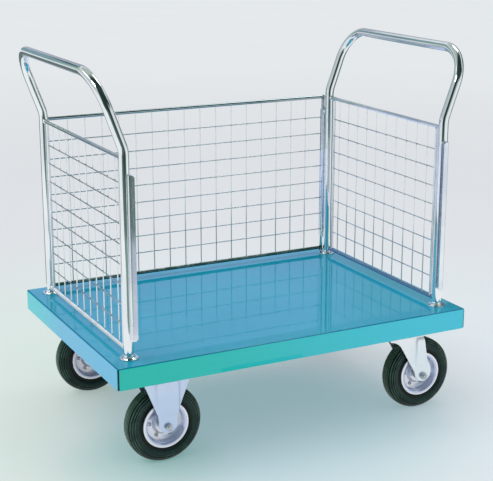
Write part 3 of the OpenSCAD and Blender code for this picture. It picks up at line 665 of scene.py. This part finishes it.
crown_top, nose_x = 0.2212, -0.106
flank_z, flank_x, throat_z, throat_x = 0.114, -0.0266, 0.188, -0.070
sweep = [(tip_z, -tip_radius), (flank_z, flank_x)]
for step in range(1, 5):
    sweep.append((flank_z + (throat_z - flank_z) * step / 4, flank_x + (throat_x - flank_x) * step / 4))
sweep_radius, sweep_start, sweep_turn, sweep_steps = 0.045, math.radians(30), math.radians(60), 10
centre_x = throat_x - sweep_radius * math.cos(sweep_start)
centre_z = throat_z - sweep_radius * math.sin(sweep_start)
for step in range(1, sweep_steps + 1):
    angle = sweep_start + sweep_turn * step / sweep_steps
    x, z = centre_x + sweep_radius * math.cos(angle), centre_z + sweep_radius * math.sin(angle)
    sweep.append((z, max(nose_x, x)))
sweep.append((crown_top, nose_x))
trailing = [(tip_z, tip_radius), (0.118, 0.0245), (0.130, 0.0205), (0.138, 0.0146), (0.146, 0.0112),
            (crown_top, -0.002)]
crown_ring = rounded([(0.0061, 0.2172), (0.048, 0.2172), (0.048, 0.221), (0.044, 0.2213), (0.044, 0.2262),
                      (0.0415, 0.2264), (0.0365, 0.2232), (0.0325, 0.2264), (0.030, 0.2262), (0.030, 0.2210),
                      (0.0061, 0.2210)],
                     [0, 0.0012, 0.0012, 0.0003, 0.0008, 0.0005, 0.0025, 0.0005, 0.0006, 0.0004, 0],
                     closed=True, turn_step=20)
swivel_crown_z, trail = 0.221, 0.054
swivel_fork = joined([pressed_fork(swivel_crown_z, sweep, trailing, swivel_raise),
                      moved(turned(crown_ring, steps=72, axis="Z"), Matrix.Translation((-trail, 0, 0)))])
swivel_fork_mesh = new_mesh("swivel_fork", swivel_fork, pale_zinc, crease=50)

fixed_x, axle_x, castor_y, axle_z = -0.350, 0.409, 0.259, 0.1
for side, y in (("front", -castor_y), ("rear", castor_y)):
    piece(f"left_{side}_pressed_fork", fixed_fork_mesh, "platform", f"left_{side}_fork",
          Matrix.Translation((fixed_x, y, 0)))
    piece(f"right_{side}_pressed_fork", swivel_fork_mesh, f"right_{side}_swivel", f"right_{side}_fork",
          Matrix.Translation((axle_x, y, 0)))
    dressed(f"right_{side}_top_plate", pale_zinc, crease=30)


# Swivel and axle bearings: kingpins, race balls, axle sleeves and roller cartridges, ground from bare steel
# and left greasy. They sit inside the castors, and only their ends show.
bare_steel, tree, shader, place = new_finish("Bare_steel", 1.0)
grease = clouds(tree, place, 55.0, 5.0)
ground = scratches(tree, place, (1200, 60, 1200))
coated(tree, shader, blended(tree, grease, tint(96, 98, 104), tint(158, 160, 166)),
       ranged(tree, ground, 0.22, 0.40))
for node in ("right_front_kingpin", "right_rear_kingpin", "right_front_ball_race", "right_rear_ball_race",
             "left_axle_sleeves", "right_front_axle_sleeve", "right_rear_axle_sleeve"):
    dressed(node, bare_steel, crease=30)


# Axle bolts and nuts: 10 mm bolts with a chamfered hexagon head on the inner side, and a nut on the outer
# side with a few turns of thread showing past it. Zinc plated.
def hexagon(across_flats, height, bore, steps=96):
    rim = across_flats / 2 * 0.97
    loops = [[], [], [], [], [], []]
    for step in range(steps):
        angle = 2 * math.pi * step / steps
        reach = across_flats / 2 / math.cos((angle % (math.pi / 3)) - math.pi / 6)
        drop = (reach - rim) * math.tan(math.radians(30))
        for loop, radius, rise in zip(loops, (bore, rim, reach, reach, rim, bore),
                                      (0, 0, drop, height - drop, height, height)):
            loop.append((radius * math.cos(angle), rise, radius * math.sin(angle)))
    points = [point for loop in loops for point in loop]
    last = 5 * steps
    closing = [(last + step, last + (step + 1) % steps, (step + 1) % steps, step) for step in range(steps)]
    return points, ringed(5, steps) + closing


leg_face, head_height, nut_height, hex_size = 0.03805, 0.0064, 0.008, 0.017
thread_start, thread_pitch = -0.0482, 0.00125
thread = [(0.0, -0.0488), (0.0036, -0.0488), (0.0044, -0.0484)]
for turn in range(4):
    start = thread_start + turn * thread_pitch
    thread += [(0.0050, start), (0.0050, start + 0.0004), (0.0045, start + 0.0007), (0.0045, start + 0.0010)]
thread += [(0.00498, -0.043), (0.00498, 0.0386), (0.0, 0.0386)]
bolt = joined([turned(thread, steps=40),
               moved(hexagon(hex_size, head_height, 0.003), Matrix.Translation((0, leg_face, 0)))])
nut = moved(hexagon(hex_size, nut_height, 0.00502), Matrix.Translation((0, -leg_face - nut_height, 0)))
turn_round = Matrix.Rotation(math.pi, 4, "Z")
for label, shape in (("bolt", bolt), ("nut", nut)):
    pair = joined([moved(shape, Matrix.Translation((fixed_x, -castor_y, axle_z))),
                   moved(shape, Matrix.Translation((fixed_x, castor_y, axle_z)) @ turn_round)])
    name = f"left_axle_{label}_pair"
    piece(name, new_mesh(name, pair, plated_steel, crease=25), "platform",
          f"left_axle_{label}s")
    mesh = new_mesh(f"swivel_axle_{label}", shape, plated_steel, crease=25)
    piece(f"right_front_{label}", mesh, "right_front_swivel", f"right_front_axle_{label}",
          Matrix.Translation((axle_x, -castor_y, axle_z)))
    piece(f"right_rear_{label}", mesh, "right_rear_swivel", f"right_rear_axle_{label}",
          Matrix.Translation((axle_x, castor_y, axle_z)) @ turn_round)


# Tyres: solid moulded black rubber, 200 mm across, with zigzag grooves round the tread, rings on each
# sidewall and a foot that is squeezed between the two rim discs. Slightly dusty, with a soft moulded sheen.
# Painted
# light: a painted sheen on the sidewall bulge, painted highlights on the ridges and the tread edge, and
# painted shade in the hollow by the rim.
def from_axle(tree, place):
    around = axes(tree, place)
    flat = add(tree, "CombineXYZ", {0: around["X"], 1: around["Z"]}).outputs[0]
    return add(tree, "VectorMath", {0: flat}, operation="LENGTH").outputs["Value"]


rubber, tree, shader, place = new_finish("Moulded_rubber", 0.0)
dust = clouds(tree, place, 26.0, 6.0)
grain = clouds(tree, place, 900.0, 2.0)
radius = from_axle(tree, place)
black = blended(tree, dust, tint(9, 23, 22), tint(20, 40, 38))
# Painted sheen: a broad lighter band on the sidewall bulge.
on_wall = reckoned(tree, "SUBTRACT", spread(tree, radius, 0.0690, 0.0740),
                   spread(tree, radius, 0.0790, 0.0850))
black = blended(tree, ranged(tree, on_wall, 0.0, 0.45), black, tint(40, 68, 63))
# Painted highlight: three thin lighter rings along the sidewall ridges, broken by the dust.
for ridge, width in ((0.0945, 0.0012), (0.0893, 0.0011), (0.0838, 0.0010)):
    off_ridge = reckoned(tree, "SUBTRACT", radius, ridge)
    near_ridge = spread(tree, reckoned(tree, "ABSOLUTE", off_ridge), width, width * 0.4)
    ridge_highlight = reckoned(tree, "MULTIPLY", near_ridge, spread(tree, dust, 0.2, 0.9, 0.35, 1.0))
    black = blended(tree, ridge_highlight, black, tint(76, 110, 94))
# Painted highlight: a light ring at the tread edge.
black = blended(tree, spread(tree, radius, 0.0972, 0.0986, 0.0, 0.75), black, tint(76, 110, 90))
# Painted shade: the hollow next to the rim is made near black.
black = blended(tree, spread(tree, radius, 0.0690, 0.0655, 0.0, 0.7), black, tint(5, 8, 7))
coated(tree, shader, black, ranged(tree, dust, 0.18, 0.30))
shader.inputs["Specular IOR Level"].default_value = 0.24
shader.inputs["Specular Tint"].default_value = (0.80, 1.0, 0.90, 1.0)
dimpled(tree, shader, grain, strength=0.12, depth=0.0002)

half_tread = [(0.1000, 0.0028, 0), (0.0978, 0.0030, 1), (0.0978, 0.0052, 1), (0.0998, 0.0054, 1),
              (0.0996, 0.0088, 1), (0.0973, 0.0090, 1), (0.0970, 0.0112, 1), (0.0989, 0.0115, 1),
              (0.0982, 0.0138, 0), (0.0960, 0.0140, 0), (0.0957, 0.0156, 0), (0.0971, 0.0159, 0),
              (0.0958, 0.0178, 0), (0.0942, 0.0192, 0), (0.0934, 0.0192, 0), (0.0922, 0.0196, 0),
              (0.0914, 0.0216, 0), (0.0900, 0.0227, 0), (0.0880, 0.0234, 0), (0.0870, 0.0229, 0),
              (0.0856, 0.0230, 0), (0.0846, 0.0246, 0), (0.0825, 0.0252, 0), (0.0795, 0.0254, 0),
              (0.0770, 0.0249, 0), (0.0745, 0.0241, 0), (0.0722, 0.0228, 0), (0.0700, 0.0211, 0),
              (0.0682, 0.0203, 0), (0.0664, 0.0205, 0), (0.0650, 0.0214, 0), (0.0638, 0.0226, 0),
              (0.0628, 0.0228, 0), (0.0621, 0.0212, 0), (0.0619, 0.0196, 0), (0.0600, 0.01940, 0),
              (0.0524, 0.01940, 0), (0.05205, 0.0188, 0)]
tread = half_tread + [(out, -across, loose) for out, across, loose in reversed(half_tread)]
zigzags, per_zigzag, zigzag_reach = 60, 4, 0.0011


def zigzag(step):
    return zigzag_reach * (abs((step % per_zigzag) / per_zigzag - 0.5) * 4 - 1)


tyre_mesh = new_mesh("moulded_tyre", turned(tread, zigzags * per_zigzag, sway=zigzag), rubber, crease=38)


# Rim discs: two pressed zinc-plated steel discs a wheel, dished at the hub, flat where they meet and are
# riveted, and rolled over at the lip that holds the tyre. Pressing has left faint rings round the disc.
rim_zinc, tree, shader, place = new_finish("Rim_zinc", 0.65)
radius = from_axle(tree, place)
rings = add(tree, "TexNoise", {"W": reckoned(tree, "MULTIPLY", radius, 420.0),
                               "Scale": 1.0, "Detail": 3.0}, noise_dimensions="1D").outputs["Fac"]
bloom = clouds(tree, place, 34.0)
pale = blended(tree, bloom, tint(234, 238, 249), tint(250, 251, 253))
straw = blended(tree, spread(tree, bloom, 0.80, 1.0, 0.0, 0.5), pale, tint(236, 234, 206))
# Painted shade: the deep bed of the dish is a darker blue.
bed = spread(tree, radius, 0.0465, 0.0490)
lip = spread(tree, radius, 0.0560, 0.0578)
in_bed = reckoned(tree, "SUBTRACT", bed, lip)
dished = blended(tree, in_bed, straw, tint(214, 223, 250))
# Painted highlight: the rolled lip is near white.
coated(tree, shader, blended(tree, lip, dished, tint(252, 253, 254)),
       spread(tree, rings, 0.2, 0.8, 0.14, 0.26))
dimpled(tree, shader, rings, strength=0.25, depth=0.0003)

disc = rounded([(0.01505, 0.0120), (0.01505, 0.0140), (0.0245, 0.0140), (0.0295, 0.0020), (0.0470, 0.0020),
                (0.0500, 0.0050), (0.0500, 0.0212), (0.0530, 0.0241), (0.0574, 0.0243), (0.0605, 0.0241),
                (0.0615, 0.0221), (0.0605, 0.0200), (0.0585, 0.0197), (0.0570, 0.0216), (0.0540, 0.0220),
                (0.0520, 0.0203), (0.0520, 0.0040), (0.0480, 0.0001), (0.0285, 0.0001), (0.0235, 0.0120)],
               [0, 0.0006, 0.0018, 0.0028, 0.0020, 0.0020, 0.0016, 0.0016, 0.0005, 0.0008, 0.0008, 0.0007,
                0.0006, 0.0006, 0.0005, 0.0008, 0.0030, 0.0030, 0.0012, 0.0018], closed=True, turn_step=12)
disc = [(out, -across) for out, across, _ in disc]
disc_mesh = new_mesh("rim_disc", turned(disc, steps=160), rim_zinc, crease=60)


# Rim rivets and hub cartridges: six tubular rivets a wheel with rolled heads on both sides, and the steel
# cartridge of rollers pressed through the hub faces, with a stepped seal at each end.
head = rounded([(0.0018, 0.0012), (0.0018, 0.0034), (0.0030, 0.0042), (0.0050, 0.0036), (0.0055, 0.00205),
                (0.0030, 0.00203), (0.0030, 0.0), (0.0012, 0.0), (0.0012, 0.0012)],
               [0.0002, 0.0006, 0.0010, 0.0010, 0.0003, 0, 0, 0, 0], closed=True, turn_step=18)
rivet_shapes = []
rivet_count, rivet_circle = 6, 0.036
for rivet in range(rivet_count):
    turn = Matrix.Rotation(2 * math.pi * rivet / rivet_count, 4, "Y")
    spot = turn @ Matrix.Translation((rivet_circle, 0, 0))
    for flip in (1, -1):
        rivet_shapes.append(moved(turned([(out, flip * across) for out, across, _ in head], steps=28), spot))
rivet_mesh = new_mesh("rim_rivets", joined(rivet_shapes), plated_steel, crease=40)
half_seal = [(0.01005, 0.0262), (0.0108, 0.0270), (0.0122, 0.0270), (0.0125, 0.0263), (0.0140, 0.0263),
             (0.01445, 0.0259), (0.01490, 0.0250)]
cartridge = half_seal + [(out, -across) for out, across in reversed(half_seal)]
cartridge_mesh = new_mesh("hub_cartridge", turned(cartridge, steps=56), bare_steel, crease=30)

wheel_places = {"left_front": (fixed_x, -castor_y), "left_rear": (fixed_x, castor_y),
                "right_front": (axle_x, -castor_y), "right_rear": (axle_x, castor_y)}
for corner, (x, y) in wheel_places.items():
    outward = Matrix.Translation((x, y, axle_z)) @ (turn_round if y > 0 else Matrix.Identity(4))
    for label, mesh, stands_for, slot, stand in (
            ("moulded_tyre", tyre_mesh, "tyre", "tyre_rubber", outward),
            ("outer_disc", disc_mesh, "outer_rim", "rim_zinc", outward),
            ("inner_disc", disc_mesh, "inner_rim", "rim_zinc", outward @ turn_round),
            ("disc_rivets", rivet_mesh, "rim_rivets", "fastener_steel", outward),
            ("hub_cartridge", cartridge_mesh, "roller_bearing", "bearing_steel", outward)):
        piece(f"{corner}_{label}", mesh, f"{corner}_wheel", f"{corner}_{stands_for}", stand)


# Studio: a pale floor that runs out of sight under an even sky, lit by a soft sun and two lamps. The floor
# is partly lit by itself, and is open from below. Near the truck it carries a painted teal shadow, darkest
# under the deck and beside the front-left wheel. Flags and a low card glow at the front, the back and the
# sides, where only polished surfaces mirror them, as painted reflections.
floor_mesh = bpy.data.meshes.new("studio_floor")
floor_reach = 60.0
floor_mesh.from_pydata([(-floor_reach, -floor_reach, 0), (floor_reach, -floor_reach, 0),
                        (floor_reach, floor_reach, 0), (-floor_reach, floor_reach, 0)], [], [(0, 1, 2, 3)])
floor = set_out("studio_floor", floor_mesh)
floor_paper, tree, shader, place = new_finish("Floor_paper", 0.0)
cloudy = clouds(tree, place, 1.2, 2.0)
distance = add(tree, "VectorMath", {0: place, 1: (0.0, -0.2, 0)}, operation="DISTANCE").outputs["Value"]
by_wheel = add(tree, "VectorMath", {0: place, 1: (-0.40, -0.25, 0)}, operation="DISTANCE").outputs["Value"]
across = axes(tree, place)["X"]
paper, under, left_side, right_side, around, far_away = [
    blended(tree, cloudy, tint(*first), tint(*second)) for first, second in (
        ((226, 230, 232), (227, 231, 233)), ((176, 217, 227), (181, 220, 229)),
        ((208, 228, 217), (214, 232, 221)), ((220, 230, 236), (223, 232, 238)),
        ((221, 221, 226), (222, 222, 227)), ((239, 241, 244), (240, 242, 245)))]
tree.links.new(paper, shader.inputs["Base Color"])
shader.inputs["Roughness"].default_value = 0.85
shader.inputs["Specular IOR Level"].default_value = 0.1
# Painted shadow: teal under the deck, lighter tones beside it, and a deeper patch by the front-left wheel.
beside = blended(tree, spread(tree, across, -0.3, 0.4), left_side, right_side)
close_by = blended(tree, spread(tree, distance, 0.25, 0.68), under, beside)
close_by = blended(tree, spread(tree, by_wheel, 0.28, 0.04, 0.0, 0.9), close_by, tint(142, 202, 197))
further = blended(tree, spread(tree, distance, 1.0, 2.2), close_by, around)
toned = blended(tree, spread(tree, distance, 2.5, 8.0), further, far_away)
rays = add(tree, "LightPath").outputs
backlit = add(tree, "Emission", {"Color": blended(tree, rays["Is Glossy Ray"], toned, tint(248, 250, 254))})
looked_at = reckoned(tree, "MAXIMUM", rays["Is Camera Ray"], rays["Is Glossy Ray"])
looked_at = reckoned(tree, "MAXIMUM", looked_at, rays["Is Transmission Ray"])
glow_share = reckoned(tree, "MULTIPLY", looked_at, 0.5)
lit = add(tree, "MixShader", {0: glow_share, 1: shader.outputs[0], 2: backlit.outputs[0]})
from_below = reckoned(tree, "MULTIPLY", add(tree, "NewGeometry").outputs["Backfacing"], rays["Is Camera Ray"])
clear = add(tree, "BsdfTransparent")
open_below = add(tree, "MixShader", {0: from_below, 1: lit.outputs[0], 2: clear.outputs[0]})
tree.links.new(open_below.outputs[0], tree.nodes["Material Output"].inputs["Surface"])
floor_mesh.materials.append(floor_paper)


def new_cloth(name, first, second, glow_tone=None):
    cloth = bpy.data.materials.new(name)
    cloth.use_nodes = True
    tree = cloth.node_tree
    tree.nodes.clear()
    place = add(tree, "TexCoord").outputs["Object"]
    colour = blended(tree, clouds(tree, place, 0.7, 2.0), first, second)
    if glow_tone is not None:
        colour = glow_tone(tree, axes(tree, place), colour)
    glow = add(tree, "Emission", {"Color": colour})
    tree.links.new(glow.outputs[0], add(tree, "OutputMaterial").inputs["Surface"])
    return cloth


# Painted reflections: the flags glow in these tones and show only in polished parts. The paler patches and
# low band of the front flag, the dark band of the sage flag and the edges of the post flag and card shape the
# streaks on the chrome.
def front_glow(tree, spot, dark):
    low_right = reckoned(tree, "MULTIPLY", spread(tree, spot["X"], -0.25, 0.35),
                         spread(tree, spot["Z"], 1.5, 1.0))
    front_tone = blended(tree, low_right, dark, tint(158, 172, 172))
    front_tone = blended(tree, spread(tree, spot["X"], -1.9, -2.9), front_tone, tint(158, 172, 172))
    front_tone = blended(tree, spread(tree, spot["Z"], 0.60, 0.25, 0.0, 0.9), front_tone, tint(98, 124, 116))
    return blended(tree, spread(tree, spot["Y"], -0.6, 0.5), front_tone, tint(176, 190, 184))


def sage_glow(tree, spot, sage):
    cooler = blended(tree, spread(tree, spot["X"], -1.75, -1.45), sage, tint(126, 154, 166))
    dark_band = reckoned(tree, "SUBTRACT", spread(tree, spot["Z"], 2.02, 2.08), spread(tree, spot["Z"], 2.20, 2.26))
    return blended(tree, dark_band, cooler, tint(66, 92, 96))


def post_glow(tree, spot, green):
    return blended(tree, spread(tree, spot["X"], -0.34, -0.22), green, tint(196, 204, 218))


def card_glow(tree, spot, lilac):
    return blended(tree, spread(tree, spot["X"], 0.55, 0.85), lilac, tint(172, 190, 200))


front_cloth = new_cloth("Front_cloth", tint(28, 44, 40), tint(48, 66, 60), front_glow)
edge_cloth = new_cloth("Edge_cloth", tint(88, 104, 106), tint(112, 128, 130))
low_cloth = new_cloth("Low_cloth", tint(92, 98, 122), tint(112, 118, 142))
far_cloth = new_cloth("Far_cloth", tint(148, 156, 172), tint(172, 180, 192))
sage_cloth = new_cloth("Sage_cloth", tint(172, 194, 176), tint(192, 210, 194), sage_glow)
post_cloth = new_cloth("Post_cloth", tint(112, 142, 136), tint(134, 162, 154), post_glow)
bar_cloth = new_cloth("Bar_cloth", tint(128, 150, 168), tint(144, 166, 182))
card_paper = new_cloth("Card_paper", tint(186, 199, 246), tint(196, 208, 250), card_glow)


def hung(name, cloth, rows):
    mesh = bpy.data.meshes.new(name)
    mesh.from_pydata([corner for row in rows for corner in row], [],
                     [(2 * i, 2 * i + 1, 2 * i + 3, 2 * i + 2) for i in range(len(rows) - 1)])
    mesh.materials.append(cloth)
    flag = set_out(name, mesh)
    flag.visible_camera = flag.visible_diffuse = flag.visible_shadow = flag.visible_transmission = False


front_rows = []
for y, z, _ in rounded([(-1.5, 0.08), (-1.6, 0.9), (-1.72, 1.8), (-1.9, 3.3), (2.6, 3.6)], [0, 0, 0, 0.8, 0],
                       turn_step=10):
    front_rows.append([(-2.9, y, z), (0.35 + 2.05 * ramp(z, 0.9, 1.8), y, z)])
hung("studio_front_flag", front_cloth, front_rows)
for name, cloth, start, end, foot, head in (
        ("studio_back_flag", edge_cloth, (-0.50, 1.29), (-1.13, 1.02), 0.03, 0.86),
        ("studio_middle_flag", far_cloth, (0.40, 1.45), (-0.50, 1.29), 0.03, 0.86),
        ("studio_right_flag", edge_cloth, (1.20, 0.75), (1.50, -0.50), 0.03, 1.5),
        ("studio_low_left_flag", low_cloth, (-0.85, -0.70), (-0.55, -0.70), 0.01, 0.10),
        ("studio_low_right_flag", low_cloth, (-0.06, -0.70), (0.20, -0.70), 0.01, 0.10),
        ("studio_sage_flag", sage_cloth, (-2.40, 3.00), (-0.50, 3.00), 1.1, 3.3),
        ("studio_post_flag", post_cloth, (-0.86, -0.92), (0.05, -0.92), 0.14, 0.42),
        ("studio_far_flag", far_cloth, (-0.50, 4.20), (4.50, 4.20), 1.0, 3.6),
        ("studio_bar_flag", bar_cloth, (0.25, 0.40), (0.90, 0.40), 0.60, 0.84),
        ("studio_low_card", card_paper, (-0.45, 0.60), (1.15, 0.60), 0.30, 0.66)):
    hung(name, cloth, [[(*start, z), (*end, z)] for z in (foot, head)])

world = bpy.data.worlds.new("Studio")
world.use_nodes = True
bpy.context.scene.world = world
tree = world.node_tree
sky = axes(tree, add(tree, "TexCoord").outputs["Generated"])
low_sky = blended(tree, spread(tree, sky["Z"], 0.05, 0.25), tint(228, 232, 236), tint(200, 208, 212))
whole_sky = blended(tree, spread(tree, sky["Z"], 0.35, 0.6), low_sky, tint(230, 236, 238))
seen = add(tree, "LightPath").outputs["Is Camera Ray"]
tree.links.new(blended(tree, seen, whole_sky, tint(229, 233, 236)), tree.nodes["Background"].inputs["Color"])
tree.links.new(ranged(tree, seen, 0.9, 1.0), tree.nodes["Background"].inputs["Strength"])

sun = bpy.data.lights.new("soft_sun", "SUN")
sun.energy, sun.angle, sun.color = 0.9, math.radians(50), (1.0, 0.93, 0.90)
holder = set_out("soft_sun", sun)
holder.rotation_euler = Vector((0.55, -0.35, -1.0)).to_track_quat("-Z", "Y").to_euler()
for name, spot, target, width, depth, power in (
        ("left_lamp", (-2.3, -1.0, 2.6), (0, 0, 0.6), 0.9, 0.6, 9),
        ("window_lamp", (1.3, 0.5, 2.9), (-0.4, -0.3, 0.9), 1.0, 0.7, 10)):
    lamp = bpy.data.lights.new(name, "AREA")
    lamp.shape, lamp.size, lamp.size_y, lamp.energy = "RECTANGLE", width, depth, power
    holder = set_out(name, lamp)
    holder.location = spot
    holder.rotation_euler = (Vector(target) - Vector(spot)).to_track_quat("-Z", "Y").to_euler()


# Camera: a long lens at the front left of the truck, higher than its handles. It is tilted down and has no
# shift, so that every other view keeps the whole truck in its frame.
bpy.context.scene.view_settings.view_transform = "Standard"
camera = set_out("camera", bpy.data.cameras.new("camera"))
picture_width, focal_length, yaw, pitch = 493, 1251.5, 27.076, 15.339
camera.data.sensor_width = 36.0
camera.data.lens = camera.data.sensor_width * focal_length / picture_width
camera.data.clip_end = 200.0
camera.location = (-1.4813, -2.9332, 1.3630)
camera.rotation_euler = (math.radians(90 - pitch), 0, math.radians(-yaw))
bpy.context.scene.camera = camera
